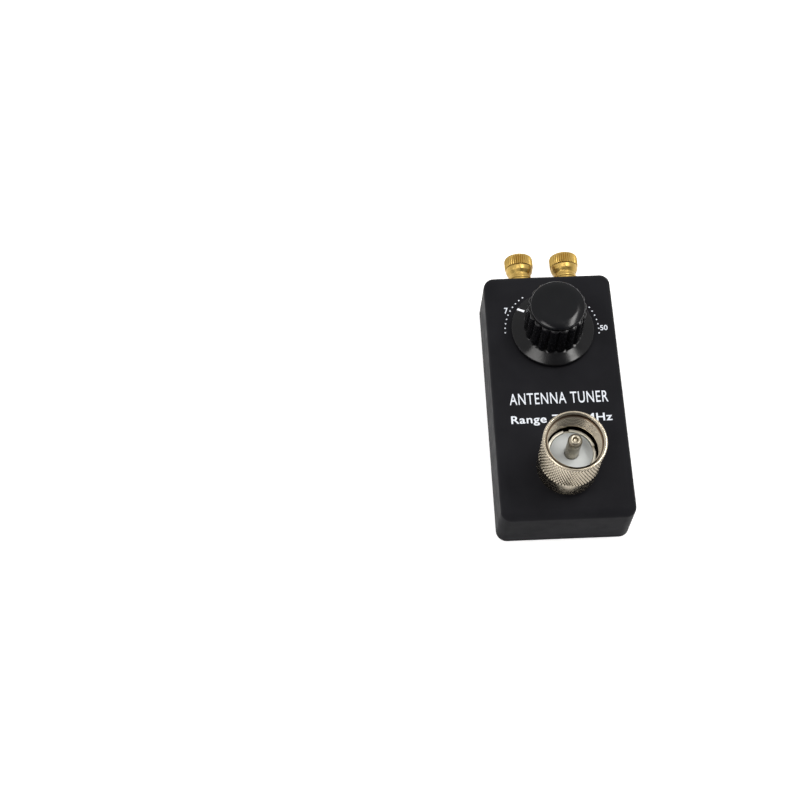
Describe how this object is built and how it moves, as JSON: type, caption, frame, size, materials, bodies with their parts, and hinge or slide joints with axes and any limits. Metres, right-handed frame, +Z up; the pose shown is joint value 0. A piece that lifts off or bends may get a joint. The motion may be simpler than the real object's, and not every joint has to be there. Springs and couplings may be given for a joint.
{
  "type": "antenna tuner",
  "caption": "Small black loop-antenna tuner box with a UHF plug, a skirted tuning knob over a dotted dial and brass binding posts on one end.",
  "frame": {"origin": "centre of the base's underside, on the surface the box lies on", "axes": "+Z up through the panel, +Y along the box towards the binding posts, +X to the right of someone reading the dial"},
  "size_m": [0.04, 0.091, 0.0436],
  "materials": {
    "case_black": "fine satin moulded ABS",
    "cover_black": "satin moulded ABS",
    "steel_screw": "bright zinc-plated steel",
    "print_white": "matt screen-printed ink",
    "knob_black": "glossy moulded phenolic",
    "cap_black": "glossy moulded plastic",
    "brass": "turned brass, lightly lacquered",
    "black_steel": "black oxide steel",
    "pointer_white": "white paint filling",
    "capacitor_plastic": "translucent moulded plastic",
    "capacitor_board": "pressed fibre board",
    "plate_aluminium": "rolled sheet",
    "tinned_brass": "dull tin plating",
    "nickel_body": "bright nickel plating",
    "nickel_ring": "warm nickel plating, knurled",
    "insulator": "moulded white polymer",
    "silver_pin": "tarnished silver plating",
    "ferrite": "fired ferrite",
    "enamel_wire": "enamelled copper",
    "wire_red": "insulated wire",
    "wire_black": "insulated wire"
  },
  "bodies": {
    "case": {"case_shell": "case_black", "base_cover": "cover_black", "cover_screws": "steel_screw", "dial_print": "print_white", "capacitor_housing": "capacitor_plastic", "capacitor_base": "capacitor_board", "capacitor_collar": "brass", "stator_plates": "plate_aluminium", "capacitor_lugs": "tinned_brass", "capacitor_screws": "steel_screw", "plug_body": "nickel_body", "plug_insulator": "insulator", "centre_pin": "silver_pin", "plug_lock_nut": "nickel_body", "ground_tag": "tinned_brass", "post_studs": "brass", "solder_tags": "tinned_brass", "post_lock_washers": "steel_screw", "post_nuts": "brass", "toroid_core": "ferrite", "primary_winding": "enamel_wire", "left_lead": "wire_red", "loop_lead": "wire_black"},
    "tuning": {"knob_body": "knob_black", "knob_cap": "cap_black", "knob_bush": "brass", "knob_set_screw": "black_steel", "pointer_mark": "pointer_white", "capacitor_shaft": "plate_aluminium", "rotor_plates": "plate_aluminium"},
    "ring": {"coupling_ring": "nickel_ring"},
    "left_washer": {"clamp_washer_left": "brass"},
    "left_nut": {"thumb_nut_left": "brass"},
    "right_washer": {"clamp_washer_right": "brass"},
    "right_nut": {"thumb_nut_right": "brass"}
  },
  "joints": [
    {"name": "tuning_turn", "type": "hinge", "parent": "case", "child": "tuning", "pos_m": [0, 0.0199, 0.02], "axis": [0, 0, 1], "range_deg": [-146, 34]},
    {"name": "ring_turn", "type": "hinge", "parent": "case", "child": "ring", "pos_m": [0, -0.0253, 0.03], "axis": [0, 0, 1], "continuous": true},
    {"name": "left_washer_slide", "type": "slide", "parent": "case", "child": "left_washer", "axis": [0, 1, 0], "range_m": [0, 0.0035]},
    {"name": "left_nut_turn", "type": "hinge", "parent": "left_washer", "child": "left_nut", "pos_m": [-0.0072, 0.0455, 0.01], "axis": [0, 1, 0], "range_deg": [0, 1800]},
    {"name": "right_washer_slide", "type": "slide", "parent": "case", "child": "right_washer", "axis": [0, 1, 0], "range_m": [0, 0.0035]},
    {"name": "right_nut_turn", "type": "hinge", "parent": "right_washer", "child": "right_nut", "pos_m": [0.0072, 0.0455, 0.01], "axis": [0, 1, 0], "range_deg": [0, 1800]}
  ],
  "couplings": [
    {"joint": "left_nut_turn", "follows": "left_washer_slide", "rad_per_m": 8975.9},
    {"joint": "right_nut_turn", "follows": "right_washer_slide", "rad_per_m": 8975.9}
  ]
}
